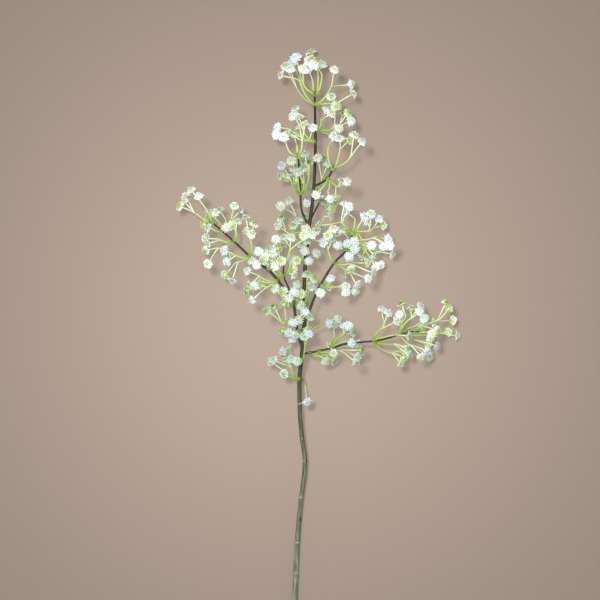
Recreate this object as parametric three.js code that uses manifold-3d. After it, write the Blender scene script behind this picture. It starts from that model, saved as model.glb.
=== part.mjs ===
// Artificial gypsophila stem, lying on a flat surface.
//
// A plastic-coated main stem carries three branches and four short twigs. Moulded sprigs are threaded on all
// of them: each is a collar round its stem, thin arms that fork, and pedicels that end in domed florets.
//
// Millimetres, +Z up, the surface at z = 0. The stem lies along Y, with its cut end at -Y.
import * as THREE from "three";
import Module from "manifold-3d";

const wasm = await Module();
wasm.setup();

// ---------------------------------------------------------------- driving dimensions, in millimetres

const GAP = 0.3; // clearance between pieces that hold each other
const CLEAR = 0.8; // free space to leave between sprigs
const SCRAP = 0.1; // cubic millimetres, the most that joining may leave loose
const PLAN_CENTRE = { x: 318.5, y: 349.5 }; // the point of the plan that lies at the frame's origin

const STEM_TAPER = 2.5; // 1 is a straight cone; more keeps a stem thick for longer
const STATION_SPACE = 0.15; // the least space from a route point to a collar or knuckle, in route points
const KNUCKLE = { rise: 0.45, half: 2.2 }; // the swollen rings on the bare lower stem
const KNUCKLES = [0.8, 1.45, 2.0, 3.08, 4.67, 6.0, 7.2]; // where they are, counted in stem points

const COLLAR = {
  length: 3.4,
  wall: 1,
  sides: 5,
  root: 0.75, // how far out in the wall an arm starts, as a share of it
};
const ARM = {
  root: 1.05,
  tip: 0.85,
  sideways: 0.6, // how far sideways its curve turns towards its fork, as a share of the fork's way out
  along: 0.35, // and how far along the stem, as a share of the fork's way along it
};
const PEDICEL = {
  root: 0.8,
  tip: 0.7,
  sunk: 1.6, // how far inside its arm a pedicel starts
  spacing: 2.2, // how far apart the pedicels of an arm start
  lowest: 0.8, // the farthest from the fork that one starts, as a share of the arm's last section
  turn: 0.45, // how far below its floret its curve turns, as a share of its length
};
const STALK = {
  sides: 3,
  straight: 16.5, // a stalk longer than this has a station midway
};
const FLORET = {
  lobes: 5,
  radius: 5.5, // to the tip of a lobe
  notch: 0.84, // the rim's radius between two lobes, as a share of the tip's
  droop: 0.9, // how far the lobe tips curl below the notches
  calyx: 2.4, // from the end of the pedicel up to the rim
  dome: 2.9, // from the rim up to the middle
  ball: 0.3, // the balls that stand for a floret in the layout, as a share of its radius
};

const FLORET_FLOOR = 5.7; // the lowest that a floret's middle may be
const FORK_FLOOR = 3; // the lowest that a fork may be
const CEILING = 62; // the highest that either may be
const IN_FRONT = { // florets lie in front of the thick stems that they cross in the plan
  thick: 1.3, // the radius past which a stem is thick
  reach: 3, // how far from the stem's side the middle of such a floret may be in the plan
  rise: 3.5, // how far above the stem it lies
};
const HEIGHTS = { step: 1.5, tries: 40 }; // the heights that the layout tries for each fork and floret
const BALLS = { // the layout keeps balls along each stem and stalk clear of each other
  step: 0.2, // from one to the next along a stem, in route points
  places: [0.3, 0.4, 0.5, 0.6, 0.7, 0.8, 0.9, 1], // where they are along a stalk, past its root
};
const RISE = { arm: 0.55, pedicel: 0.85 }; // the most that a stalk climbs or falls, as a share of its reach
const LEAN_SPREAD = 0.8; // how much the florets of a sprig differ in how far they turn up

// ---------------------------------------------------------------- the plan

// Stems: points [x, y, z] along each route. x runs right and y runs towards the cut end, in millimetres.
const STEMS = {
  main_stem: {
    radii: [2.55, 1.15],
    sides: 7,
    knuckles: KNUCKLES,
    route: [
      [293.2, 649, 2.55], [294.8, 600, 3.2], [297.3, 543, 4.5], [300.9, 500, 6.5], [304.3, 474, 8.5],
      [304.6, 456, 10], [302, 438, 11.5], [299.8, 410, 14], [299.6, 379, 17], [302, 354, 20],
      [304, 330, 22.5], [304.6, 305, 25], [304.6, 283, 26.5], [305.5, 260, 28], [307.6, 240, 29],
      [310, 220, 29.5], [312.4, 203, 29.5], [314, 184, 29], [315.2, 160, 28], [315.4, 137, 27],
      [315.2, 120, 26], [314.8, 104, 25], [314.6, 91, 24],
    ],
  },
  left_branch: {
    radii: [1.6, 0.85],
    sides: 6,
    from: "main_stem",
    route: [
      [303, 350, 21], [298, 334, 25], [295.6, 318, 27], [293, 303, 27.5], [287, 293, 26.5],
      [277.5, 280, 27.5], [268.5, 270, 28], [259, 264, 28], [249.5, 256, 27.5], [233.5, 241, 26],
      [221.5, 230.5, 24.5], [209, 219.5, 23],
    ],
  },
  inner_twig: {
    radii: [1.05, 0.85],
    sides: 6,
    from: "left_branch",
    route: [[291.3, 297.5, 29], [289, 289, 32], [283.5, 275, 34], [284.5, 260, 34]],
  },
  right_branch: {
    radii: [1.35, 0.95],
    sides: 6,
    from: "main_stem",
    route: [
      [304.2, 324, 23], [309.6, 310, 28], [314.6, 297, 30.5], [320.5, 285, 31.5], [327.5, 273, 32],
      [334.5, 262.5, 33], [342.5, 254.5, 33.5], [348, 249, 33.5], [351, 240, 33], [352.3, 229.5, 32],
    ],
  },
  low_branch: {
    radii: [1.15, 0.75],
    sides: 5,
    from: "main_stem",
    route: [
      [302.5, 354, 20], [310, 352.8, 21], [319, 350.8, 22], [332, 348, 23], [345, 344, 24], [360, 342.2, 24],
      [374.5, 341, 24], [388, 338.2, 23.5], [402.5, 333.5, 23], [414, 331.3, 22.5], [419, 330.6, 22.3],
    ],
  },
  left_twig: {
    radii: [1.25, 0.9],
    sides: 6,
    from: "main_stem",
    route: [
      [309, 226, 29.5], [303.5, 216, 32], [301, 206, 32], [300.5, 193, 32], [299.8, 178, 31.5],
      [298.8, 164, 31], [298, 153.5, 30],
    ],
  },
  middle_twig: {
    radii: [0.9, 0.75],
    sides: 6,
    from: "main_stem",
    route: [[310.2, 221, 29.5], [314.5, 212, 26.5], [318.5, 204, 24.5], [321, 197, 23]],
  },
  right_twig: {
    radii: [1.25, 1],
    sides: 6,
    from: "main_stem",
    route: [[314, 186.5, 28.8], [321, 183, 30.5], [327.5, 178.5, 32], [331.3, 172, 33], [333.3, 165.5, 33.5]],
  },
};

// Sprigs: the stem that carries each one, its place on the route (2.5 is midway from point 2 to point 3), how
// far its florets turn up, and its arms. An arm lists plan points: the fork first, then the florets that its
// pedicels reach. A third number is a height: the wanted one of a fork, or the one that a floret has. A value
// after the arms is the size of the sprig's florets.
const SPRIGS = {
  crown: ["main_stem", 21.82, 0.85, [
    [[303, 83], [296, 57], [303, 69]],
    [[322, 76], [309, 60], [311, 52]],
    [[318, 72], [321, 64], [313, 65]],
    [[301, 81, 14], [292, 62, 5.6]],
    [[313, 83], [308, 68]],
  ], 1.18],
  crown_whorl: ["main_stem", 21, 0.6, [
    [[297, 88], [285, 66], [290, 69]],
    [[300, 82], [281, 75]],
    [[331, 87], [334, 70], [351, 84]],
    [[335, 103], [353, 94], [331, 97], [338, 106]],
  ]],
  upper_right: ["main_stem", 19.35, 0.7, [
    [[321, 120], [327, 109], [331, 113]],
    [[331, 129], [335, 106]],
    [[338, 127], [343, 114], [348, 113], [351, 121]],
    [[330, 135], [339, 128], [335, 135]],
  ]],
  upper_left: ["main_stem", 18.8, 0.6, [
    [[301, 140], [289, 133]],
    [[303, 130], [299, 117], [296, 109], [293, 116]],
    [[310, 138], [313, 128]],
    [[291, 130], [277, 127], [276, 135]],
  ]],
  left_twig_tip: ["left_twig", 5.85, 0.4, [
    [[289, 151], [284, 137]],
    [[297, 147], [294, 135]],
    [[302, 144], [300, 128], [305, 124]],
  ]],
  right_twig_tip: ["right_twig", 3.85, 0.3, [
    [[328, 149], [334, 136]],
    [[340, 149], [340, 139], [348, 141]],
    [[349, 159], [354, 135], [362, 142]],
  ]],
  left_twig_whorl: ["left_twig", 3, 0.4, [
    [[291, 180], [281, 176], [288, 177], [282, 165]],
    [[304, 183], [303, 169], [298, 173]],
    [[298, 178, 37.5], [291, 161], [294, 168]],
    [[309, 175], [309, 163], [305, 155], [299, 158]],
  ]],
  leader_whorl: ["main_stem", 16.65, 0.5, [
    [[322, 178], [324, 159], [328, 164], [318, 158]],
    [[307, 187], [297, 180]],
  ]],
  right_twig_whorl: ["right_twig", 2, 0.5, [
    [[338, 187], [341, 181], [347, 182], [336, 197]],
    [[321, 189], [320, 196], [316, 195]],
    [[328, 191], [330, 199], [335, 202]],
  ]],
  middle_twig_tip: ["middle_twig", 2.75, 0.8, [
    [[326, 209], [332, 208], [327, 203]],
    [[315, 201], [306, 203]],
  ]],
  leader_fork: ["main_stem", 14.4, 0.8, [
    [[324, 217], [330, 216]],
    [[302, 224], [305, 217], [298, 221]],
    [[296, 216], [289, 201], [280, 206]],
    [[294, 234], [294, 225]],
    [[304, 235], [306, 229]],
    [[289, 234], [281, 218], [278, 226]],
  ]],
  leader_low: ["main_stem", 13.9, 1, [
    [[312, 238], [316, 231], [323, 242]],
    [[303, 242], [304, 236]],
  ]],
  centre_whorl: ["main_stem", 12.9, 0.8, [
    [[311, 257], [317, 253], [309, 261]],
    [[303, 254, 34], [301, 245], [307, 242, 39], [305, 251]],
    [[298, 263], [291, 259]],
  ]],
  inner_tip: ["inner_twig", 2.85, 0.7, [
    [[279, 252], [277, 246], [276, 239], [282, 246]],
    [[290, 249], [284, 237], [291, 238], [312, 235]],
  ]],
  inner_whorl: ["inner_twig", 1.95, 0.6, [
    [[277, 262], [269, 249], [273, 254], [265, 257]],
    [[290, 264], [297, 261]],
    [[290, 272], [293, 268], [294, 275]],
    [[273, 271], [275, 266]],
  ]],
  left_low: ["left_branch", 2, 0.4, [
    [[284, 323], [274, 307], [267, 311], [284, 304]],
    [[287, 333], [282, 331], [289, 333]],
    [[302, 323], [299, 320], [293, 322]],
  ]],
  left_whorl_1: ["left_branch", 3, 0.5, [
    [[284, 300], [275, 288], [283, 291]],
    [[296, 293], [297, 284], [294, 292], [302, 294]],
    [[288, 307], [289, 298]],
  ]],
  left_whorl_2: ["left_branch", 5, 0.4, [
    [[259, 276], [247, 271], [250, 284], [254, 286]],
    [[266, 288], [252, 300], [261, 286]],
    [[262, 281], [247, 291]],
  ]],
  left_whorl_3: ["left_branch", 6.05, 1.2, [
    [[268, 259], [263, 260], [271, 263]],
    [[280, 265], [281, 261]],
  ]],
  left_whorl_4: ["left_branch", 7, 1, [
    [[262, 255], [258, 251]],
    [[254, 265, 34], [252, 261], [257, 265]],
  ]],
  left_whorl_5: ["left_branch", 8, 0.2, [
    [[250, 239], [246, 218], [254, 224], [247, 231], [251, 234]],
    [[238, 262], [225, 275], [232, 280]],
    [[233, 254], [224, 250], [229, 256], [227, 262]],
  ]],
  left_whorl_6: ["left_branch", 9, 0.2, [
    [[232, 219], [234, 206], [240, 210]],
    [[218, 248], [206, 250], [208, 264]],
    [[221, 240], [206, 238], [208, 243]],
    [[236, 231], [237, 222], [232, 225]],
  ]],
  left_whorl_7: ["left_branch", 10, 0.4, [
    [[213, 229], [204, 224], [208, 228]],
    [[216, 219], [216, 212], [209, 213]],
    [[226, 222], [220, 210], [226, 228]],
  ]],
  left_tip: ["left_branch", 10.85, 0.2, [
    [[195, 213, 14], [180, 206], [185, 196, 5], [184, 202]],
    [[200, 201], [191, 190], [199, 197]],
  ]],
  trunk_whorl_1: ["main_stem", 11, 1, [
    [[297, 300], [301, 306], [305, 312]],
    [[308, 293], [312, 287]],
    [[307, 284, 33], [307, 274], [314, 278]],
  ]],
  trunk_whorl_2: ["main_stem", 10, 0.5, [
    [[298, 330, 30], [295, 335]],
    [[308, 324], [310, 317], [308, 331]],
    [[327, 319], [330, 324], [335, 325], [338, 319]],
  ]],
  trunk_whorl_3: ["main_stem", 8.72, 0.3, [
    [[305, 345, 27], [303, 337], [309, 334, 43]],
    [[289, 347], [283, 352], [292, 339]],
    [[292, 367], [286, 361], [291, 359], [297, 361]],
  ]],
  lowest: ["main_stem", 8, 0.2, [
    [[284, 372], [271, 361], [284, 374]],
    [[292, 370], [274, 360]],
    [[305, 385, 5], [307, 402, 24]],
  ]],
  right_whorl_1: ["right_branch", 3, 0.6, [
    [[331, 282], [330, 278], [329, 287]],
    [[340, 286], [347, 287], [346, 292], [356, 291]],
    [[323, 289], [320, 293]],
  ]],
  right_whorl_2: ["right_branch", 5, 0.6, [
    [[328, 248], [324, 243], [331, 241]],
    [[350, 263], [351, 268], [367, 263], [373, 273]],
    [[351, 272], [345, 274], [368, 279], [357, 285]],
  ]],
  right_whorl_3: ["right_branch", 6.9, 1.3, [
    [[340, 241], [338, 246]],
    [[348, 240], [342, 230], [347, 244]],
    [[355, 252, 42], [349, 257], [355, 249], [355, 241, 46]],
  ]],
  right_whorl_4: ["right_branch", 8, 1.2, [
    [[375, 237], [388, 239], [384, 247], [390, 246]],
    [[369, 248], [372, 245], [362, 256], [374, 255]],
    [[374, 250], [392, 254], [379, 249]],
    [[371, 259], [376, 267], [381, 265]],
  ]],
  right_tip: ["right_branch", 8.85, 0.9, [
    [[342, 222], [344, 204], [349, 206], [319, 225]],
    [[355, 220], [347, 212]],
    [[358, 228], [364, 217], [368, 222]],
    [[369, 231], [380, 219], [371, 214], [383, 225]],
    [[338, 236], [333, 229], [334, 237], [328, 236]],
    [[361, 238], [366, 246]],
  ]],
  low_whorl_1: ["low_branch", 1, 0.4, [
    [[319, 356], [326, 361], [334, 361]],
  ]],
  low_whorl_2: ["low_branch", 2, 0.4, [
    [[343, 350], [357, 357], [361, 350], [356, 362]],
    [[329, 355], [334, 353]],
  ]],
  low_whorl_3: ["low_branch", 3, 0.4, [
    [[334, 337], [333, 326], [331, 345]],
    [[343, 335], [344, 326], [348, 325], [353, 332]],
    [[350, 340], [352, 343], [358, 344]],
  ]],
  low_whorl_4: ["low_branch", 6, 0.2, [
    [[383, 327], [382, 309], [388, 313], [397, 321]],
    [[391, 353], [401, 363], [405, 350], [404, 357]],
    [[394, 344], [408, 348], [409, 355]],
    [[395, 335, 29], [409, 336]],
  ]],
  low_whorl_5: ["low_branch", 7.85, 0.3, [
    [[405, 318], [402, 304], [399, 314], [397, 318]],
    [[411, 318], [411, 309], [420, 306], [420, 312]],
    [[410, 345], [421, 356], [430, 357], [427, 351]],
  ]],
  low_whorl_6: ["low_branch", 8.3, 0.6, [
    [[413, 327], [425, 318], [423, 325]],
    [[424, 335], [431, 338]],
    [[415, 340], [428, 345], [437, 346]],
  ]],
  low_tip: ["low_branch", 9.5, 0.3, [
    [[437, 321], [449, 309], [446, 303], [453, 320]],
    [[439, 333, 14], [449, 333], [457, 336, 5.2]],
    [[424, 326], [433, 322], [437, 330]],
    [[425, 332], [432, 334]],
  ]],
};

// ---------------------------------------------------------------- small helpers

const UP = new THREE.Vector3(0, 0, 1);
const { clamp, lerp: mix } = THREE.MathUtils;

// A plan point at a height, in the frame.
const place = ([x, y], z) => new THREE.Vector3(x - PLAN_CENTRE.x, PLAN_CENTRE.y - y, z);

// An even spread of values from -1 to 1: value k of the series that belongs to a salt.
const GOLDEN = 0.61803399;
const SILVER = 0.41421356;
const spread = (k, salt) => ((k * GOLDEN + salt * SILVER) % 1) * 2 - 1;

// A point of the Catmull-Rom curve through a route; u counts route points.
function along(points, u) {
  const last = points.length - 1;
  const at = (i) => {
    if (i < 0) return points[0].clone().multiplyScalar(2).sub(points[1]);
    if (i > last) return points[last].clone().multiplyScalar(2).sub(points[last - 1]);
    return points[i];
  };
  const i = Math.min(Math.floor(u), last - 1);
  const t = u - i;
  const [a, b, c, d] = [at(i - 1), at(i), at(i + 1), at(i + 2)];
  const slope = c.clone().sub(a);
  const swing = a.clone().multiplyScalar(2).addScaledVector(b, -5).addScaledVector(c, 4).sub(d);
  const twist = b.clone().sub(c).multiplyScalar(3).add(d).sub(a);
  return b.clone().addScaledVector(slope, 0.5 * t).addScaledVector(swing, 0.5 * t ** 2)
    .addScaledVector(twist, 0.5 * t ** 3);
}

// The stretch of a route, counted in route points, that reaches a distance to both sides of u.
function stretch(points, u, reach) {
  const near = 0.1;
  const pace = along(points, u - near).distanceTo(along(points, u + near)) / (2 * near);
  return [Math.max(u - reach / pace, 0), Math.min(u + reach / pace, points.length - 1)];
}

// A point of the quadratic curve from a to c that bends towards b.
const bend = ([a, b, c], t) => a.clone().multiplyScalar((1 - t) ** 2)
  .addScaledVector(b, 2 * t * (1 - t)).addScaledVector(c, t * t);

// ---------------------------------------------------------------- solids

// Frames {at, side, over, ahead} at each point of a path, turning as little as they can from one to the next.
function framesAlong(points, firstAhead) {
  let side = null;
  return points.map((at, i) => {
    const before = points[Math.max(i - 1, 0)];
    const step = points[Math.min(i + 1, points.length - 1)].clone().sub(before).normalize();
    const ahead = i === 0 && firstAhead ? firstAhead : step;
    if (!side) side = new THREE.Vector3(ahead.y, -ahead.x, 0.001); // never zero, also for an upright path
    side = side.clone().addScaledVector(ahead, -side.dot(ahead)).normalize();
    return { at, side, over: new THREE.Vector3().crossVectors(ahead, side), ahead };
  });
}

// The corners of a polygon round a frame; corner(i) gives the radius and the shift ahead of each.
function polygon({ at, side, over, ahead }, count, corner) {
  return Array.from({ length: count }, (_, i) => {
    const angle = (i / count) * 2 * Math.PI;
    const { radius, shift = 0 } = corner(i);
    return at.clone().addScaledVector(side, radius * Math.cos(angle))
      .addScaledVector(over, radius * Math.sin(angle)).addScaledVector(ahead, shift);
  });
}

// The triangles between two polygons of any counts. A tip is a polygon of one corner.
function bridge(low, high) {
  const triangles = [];
  let [i, j] = [0, 0];
  while (i < low.length || j < high.length) {
    const [a, b] = [low[i % low.length], high[j % high.length]];
    if ((i + 1) / low.length <= (j + 1) / high.length) {
      i += 1;
      if (low.length > 1) triangles.push([a, low[i % low.length], b]);
    } else {
      j += 1;
      if (high.length > 1) triangles.push([a, high[j % high.length], b]);
    }
  }
  return triangles;
}

// The solid that passes through polygons from its start to its end, closed by flat ends or tips, or by
// running on from the last polygon to the first.
function loft(polygons, endless = false) {
  const [first, last] = [polygons[0], polygons[polygons.length - 1]];
  const triangles = polygons.slice(1).flatMap((high, i) => bridge(polygons[i], high));
  if (endless) triangles.push(...bridge(last, first));
  for (let i = 2; i < first.length && !endless; i++) triangles.push([first[0], first[i], first[i - 1]]);
  for (let i = 2; i < last.length && !endless; i++) triangles.push([last[0], last[i - 1], last[i]]);
  const corners = [...new Set(triangles.flat())];
  const order = new Map(corners.map((corner, i) => [corner, i]));
  return new wasm.Manifold(new wasm.Mesh({
    numProp: 3,
    vertProperties: new Float32Array(corners.flatMap(({ x, y, z }) => [x, y, z])),
    triVerts: new Uint32Array(triangles.flat().map((corner) => order.get(corner))),
  }));
}

// A bar along points, with a radius for each.
const bar = (points, radii, sides) =>
  loft(framesAlong(points).map((frame, i) => polygon(frame, sides, () => ({ radius: radii[i] }))));

// ---------------------------------------------------------------- stems

for (const stem of Object.values(STEMS)) {
  stem.points = stem.route.map(([x, y, z]) => place([x, y], z));
  stem.last = stem.points.length - 1;
}

const stemRadius = ({ radii, last }, u) => mix(radii[0], radii[1], (u / last) ** STEM_TAPER);

// A stem runs straight through each collar and swells at each knuckle. Its other stations are route points.
function buildStem(name, extra = 0) {
  const stem = STEMS[name];
  const collars = Object.values(SPRIGS).filter(([on]) => on === name)
    .map(([, u]) => stretch(stem.points, u, COLLAR.length / 2));
  const knuckles = (stem.knuckles ?? []).map((u) => stretch(stem.points, u, KNUCKLE.half));
  const plain = stem.points.map((_, u) => u)
    .filter((u) => [...collars, ...knuckles]
      .every(([from, to]) => u < from - STATION_SPACE || u > to + STATION_SPACE));
  const stations = [
    ...[...plain, ...collars.flat(), ...knuckles.flat()].map((u) => ({ u, rise: 0 })),
    ...(stem.knuckles ?? []).map((u) => ({ u, rise: KNUCKLE.rise })),
  ].sort((a, b) => a.u - b.u);
  const radii = stations.map(({ u, rise }) => stemRadius(stem, u) + rise + extra);
  return bar(stations.map(({ u }) => along(stem.points, u)), radii, stem.sides);
}

// ---------------------------------------------------------------- where each sprig goes

// Everything that is in place, as balls {at, radius, owner, kind}: the stems, then each sprig as it is laid.
const placed = [];
for (const [owner, stem] of Object.entries(STEMS)) {
  for (let u = 0; u <= stem.last; u += BALLS.step) {
    placed.push({ at: along(stem.points, u), radius: stemRadius(stem, u), owner, kind: "stem" });
  }
}

// Balls along a curve, past its root.
const stalkBalls = (curve, radius, owner) =>
  BALLS.places.map((t) => ({ at: bend(curve, t), radius, owner, kind: "stalk" }));

// Balls that fill a floret: its middle, and a ring round it.
function floretBalls({ curve, facing, bloom }, owner) {
  const [frame] = framesAlong([curve[2], curve[2].clone().add(facing)]);
  const radius = FLORET.radius * bloom * FLORET.ball;
  const reach = FLORET.radius * bloom - radius;
  const rim = polygon(frame, FLORET.lobes, () => ({ radius: reach, shift: FLORET.calyx }));
  const middle = frame.at.clone().addScaledVector(facing, FLORET.calyx);
  return [middle, ...rim].map((at) => ({ at, radius, owner, kind: "floret" }));
}

// The least free space round balls. Stalks of one sprig may cross each other.
function room(balls) {
  let least = Infinity;
  for (const ball of balls) {
    for (const other of placed) {
      if (other.owner === ball.owner && (ball.kind === "stalk" ? "stalk" : "") === other.kind) continue;
      least = Math.min(least, ball.at.distanceTo(other.at) - ball.radius - other.radius);
    }
  }
  return least;
}

// The height nearest to the wanted one where the balls have enough room, or the best one that there is.
function clearHeight(wanted, floor, ballsAt) {
  let best = { free: -Infinity };
  for (let step = 0; step < HEIGHTS.tries; step++) {
    const shift = (step % 2 ? 1 : -1) * Math.ceil(step / 2) * HEIGHTS.step;
    const z = clamp(wanted + shift, floor, CEILING);
    const free = room(ballsAt(z));
    if (free > best.free) best = { free, z };
    if (free >= CLEAR) break;
  }
  return best.z;
}

// The lowest that the middle of a floret may be at a plan point: above the thick stems that it crosses there.
function floretFloor(plan, bloom) {
  const middle = place(plan, 0);
  const thick = placed.filter(({ radius, kind }) => kind === "stem" && radius > IN_FRONT.thick);
  const crossed = thick.filter(({ at, radius }) =>
    Math.hypot(at.x - middle.x, at.y - middle.y) < radius + IN_FRONT.reach);
  return Math.max(FLORET_FLOOR * bloom, ...crossed.map(({ at, radius }) => at.z + radius + IN_FRONT.rise));
}

// The curve of an arm from the wall of its collar to its fork: it leaves sideways and turns along the stem.
function armCurve({ centre, ahead, bore }, fork) {
  const out = fork.clone().sub(centre);
  const lengthwise = out.dot(ahead);
  out.addScaledVector(ahead, -lengthwise);
  const sideways = out.length();
  out.normalize();
  const root = centre.clone().addScaledVector(out, bore + COLLAR.root * COLLAR.wall);
  const turn = root.clone().addScaledVector(out, ARM.sideways * sideways)
    .addScaledVector(ahead, ARM.along * lengthwise);
  return [root, turn, fork];
}

// A pedicel from a point of its arm to its floret, which faces the way that the pedicel ends.
function pedicel(start, middle, lean, bloom) {
  const facing = middle.clone().sub(start).normalize().addScaledVector(UP, lean).normalize();
  const end = middle.clone().addScaledVector(facing, -FLORET.calyx);
  const length = end.distanceTo(start);
  return { curve: [start, end.clone().addScaledVector(facing, -PEDICEL.turn * length), end], facing, bloom };
}

// The stations {at, radius} of a stalk along its curve, from t to its end.
function stalkStations(curve, { root, tip }, t) {
  const length = curve[0].distanceTo(curve[2]);
  const steps = length > STALK.straight ? [t, (1 + t) / 2, 1] : [t, 1];
  return steps.map((step) => ({ at: bend(curve, step), radius: mix(root, tip, step) }));
}

// Floret j of arm k, on a pedicel that starts at the fork or a little before it.
function layFloret({ name, index, turn, bloom }, { stations }, plan, k, j) {
  const [previous, fork] = stations.slice(-2).map(({ at }) => at);
  const share = Math.min((j * PEDICEL.spacing) / fork.distanceTo(previous), PEDICEL.lowest);
  const start = fork.clone().lerp(previous, share);
  const lean = turn + LEAN_SPREAD * spread(5 * j + 2 * k, index + 7);
  const reach = place(plan, start.z).distanceTo(start);
  const aim = start.z + spread(7 * j + k, index + 3) * RISE.pedicel * reach;
  const floretAt = (height) => pedicel(start, place(plan, height), lean, bloom);
  const ballsOf = (floret) => [...floretBalls(floret, name), ...stalkBalls(floret.curve, PEDICEL.root, name)];
  const floor = floretFloor(plan, bloom);
  const floret = floretAt(plan[2] ?? clearHeight(aim, floor, (height) => ballsOf(floretAt(height))));
  placed.push(...ballsOf(floret));
  return floret;
}

// Arm k of a sprig, with its florets.
function layArm(sprig, [forkPlan, ...floretPlans], k) {
  const { name, index, centre } = sprig;
  const away = place(forkPlan, centre.z).distanceTo(centre);
  const wanted = forkPlan[2] ?? centre.z + spread(3 * k + 1, index) * RISE.arm * away;
  const armAt = (z) => armCurve(sprig, place(forkPlan, z));
  const z = clearHeight(wanted, FORK_FLOOR, (height) => stalkBalls(armAt(height), ARM.root, name));
  const curve = armAt(z);
  placed.push(...stalkBalls(curve, ARM.root, name));
  const arm = { stations: stalkStations(curve, ARM, 0), out: curve[0].clone().sub(centre).normalize() };
  arm.florets = floretPlans.map((plan, j) => layFloret(sprig, arm, plan, k, j));
  return arm;
}

// A sprig's collar, arms and florets. The salts that its spreads use come from its place in the list.
function layOut(name, index) {
  const [on, u, turn, arms, bloom = 1] = SPRIGS[name];
  const stem = STEMS[on];
  const ends = stretch(stem.points, u, COLLAR.length / 2).map((end) => along(stem.points, end));
  const centre = ends[0].clone().lerp(ends[1], 0.5);
  const ahead = ends[1].clone().sub(ends[0]).normalize();
  const sprig = { name, index, turn, bloom, ends, centre, ahead, bore: stemRadius(stem, u) + GAP };
  placed.push({ at: centre, radius: sprig.bore + COLLAR.wall, owner: name, kind: "stalk" });
  sprig.arms = arms.map((arm, k) => layArm(sprig, arm, k));
  return sprig;
}

// ---------------------------------------------------------------- sprigs

// The polygons of a floret, from its lobed rim to its middle, on the frame at the end of its pedicel.
function floretPolygons({ curve, facing, bloom }, side) {
  const square = side.clone().addScaledVector(facing, -side.dot(facing)).normalize();
  const over = new THREE.Vector3().crossVectors(facing, square);
  const frame = { at: curve[2], side: square, over, ahead: facing };
  const lobeTip = { radius: FLORET.radius * bloom, shift: FLORET.calyx - FLORET.droop };
  const notch = { radius: lobeTip.radius * FLORET.notch, shift: FLORET.calyx };
  const rim = polygon(frame, 2 * FLORET.lobes, (i) => (i % 2 ? notch : lobeTip));
  return [rim, [curve[2].clone().addScaledVector(facing, FLORET.calyx + FLORET.dome * bloom)]];
}

// A stalk through stations, with a floret at its end. A station of no radius is a tip.
function buildStalk(stations, floret, firstAhead) {
  const frames = framesAlong(stations.map(({ at }) => at), firstAhead);
  const stalk = frames.map((frame, i) => {
    const { radius } = stations[i];
    return radius ? polygon(frame, STALK.sides, () => ({ radius })) : [frame.at];
  });
  return loft([...stalk, ...floretPolygons(floret, frames[frames.length - 1].side)]);
}

// An arm runs on into its first pedicel. The other pedicels start as tips sunk into the arm.
function buildArm({ stations: own, out, florets }) {
  const stalks = florets.map((floret, j) => {
    const sunk = PEDICEL.sunk / floret.curve[0].distanceTo(floret.curve[2]);
    const stations = j === 0
      ? [...own, ...stalkStations(floret.curve, PEDICEL, 0).slice(1)]
      : [{ at: floret.curve[0], radius: 0 }, ...stalkStations(floret.curve, PEDICEL, sunk)];
    return buildStalk(stations, floret, j === 0 ? out : undefined);
  });
  return stalks.reduce((body, stalk) => body.add(stalk));
}

// A collar is a ring round its stem: its outer wall one way, then its bore the other way.
function buildCollar({ ends, bore }) {
  const corner = bore / Math.cos(Math.PI / COLLAR.sides);
  const [start, end] = framesAlong(ends);
  const wall = (frame, radius) => polygon(frame, COLLAR.sides, () => ({ radius }));
  const [outer, inner] = [corner + COLLAR.wall, corner];
  return loft([wall(start, inner), wall(start, outer), wall(end, outer), wall(end, inner)], true);
}

const buildSprig = (sprig) => sprig.arms.reduce((body, arm) => body.add(buildArm(arm)), buildCollar(sprig));

// ---------------------------------------------------------------- the group

const MATERIALS = {
  stem: new THREE.MeshStandardMaterial({ color: 0x4d5239, roughness: 0.6, metalness: 0 }),
  sprig: new THREE.MeshStandardMaterial({ color: 0xdfead2, roughness: 0.55, metalness: 0 }),
};

// A named mesh of a solid, without the empty scraps that joining can leave.
function meshOf(name, body, material) {
  const whole = body.decompose().filter((solid) => solid.volume() > SCRAP).reduce((a, b) => a.add(b));
  const { vertProperties, triVerts } = whole.getMesh();
  const geometry = new THREE.BufferGeometry();
  geometry.setAttribute("position", new THREE.BufferAttribute(new Float32Array(vertProperties), 3));
  geometry.setIndex(new THREE.BufferAttribute(new Uint32Array(triVerts), 1));
  geometry.computeVertexNormals();
  const mesh = new THREE.Mesh(geometry, material);
  mesh.name = name;
  return mesh;
}

const gypsophila = new THREE.Group();
gypsophila.name = "gypsophila_stem";

for (const [name, stem] of Object.entries(STEMS)) {
  const body = buildStem(name);
  const cleared = stem.from ? body.subtract(buildStem(stem.from, GAP)) : body;
  gypsophila.add(meshOf(name, cleared, MATERIALS.stem));
}

Object.keys(SPRIGS).forEach((name, index) => {
  gypsophila.add(meshOf(`sprig_${name}`, buildSprig(layOut(name, index)), MATERIALS.sprig));
});

export default gypsophila;
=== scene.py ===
"""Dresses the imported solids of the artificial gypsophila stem, and adds the floor, the light and the camera.

The tables and the layout rule are those of the solids, in millimetres, so each piece lies where its solid is.
Meshes are written in metres.
"""

import math

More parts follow.
